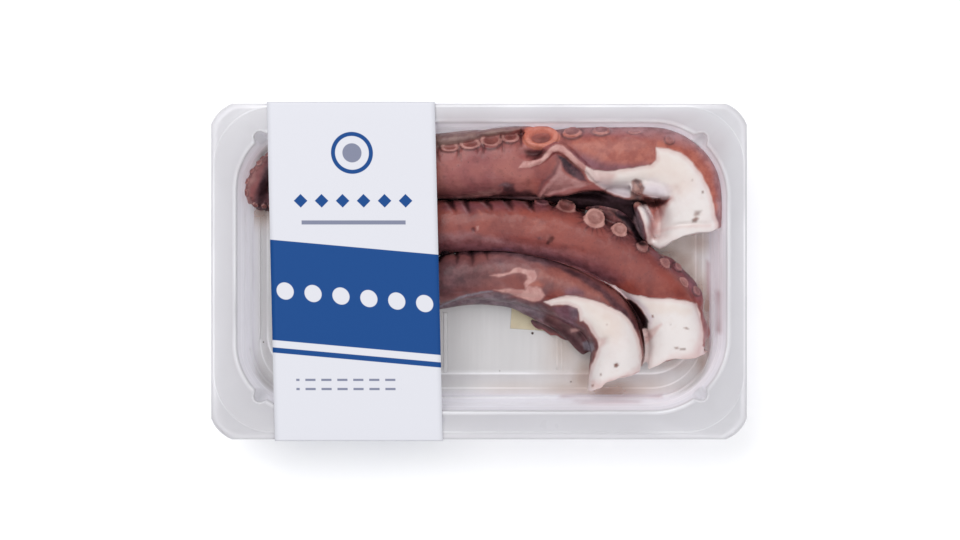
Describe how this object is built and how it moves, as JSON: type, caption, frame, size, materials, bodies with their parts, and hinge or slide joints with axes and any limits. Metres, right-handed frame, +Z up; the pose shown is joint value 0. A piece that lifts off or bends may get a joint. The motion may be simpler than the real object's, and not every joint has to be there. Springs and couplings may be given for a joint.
{
  "type": "pack of cooked octopus arms",
  "caption": "Sealed clear tray of cooked octopus arms with cut ends, under a lidding film and a wrapped board sleeve.",
  "frame": {"origin": "middle of the pack's bounding box, at the height it stands on", "axes": "+X along the tray's long side towards the arms' cut ends, +Y across it, +Z up through the film"},
  "size_m": [0.235, 0.1484, 0.0308],
  "materials": {
    "tray_sheet": "clear, slightly milky thermoformed plastic sheet",
    "octopus": "wet cooked octopus skin, red-brown, with pale cut flesh",
    "lid_film": "thin clear lidding film",
    "sleeve_board": "coated white board with blue and grey printed fields",
    "label": "plain pale yellow paper sticker"
  },
  "bodies": {
    "root": {"tray": "tray_sheet", "arm_short": "octopus", "arm_middle": "octopus", "arm_long": "octopus", "film": "lid_film", "sleeve": "sleeve_board", "base_label": "label"}
  },
  "joints": []
}
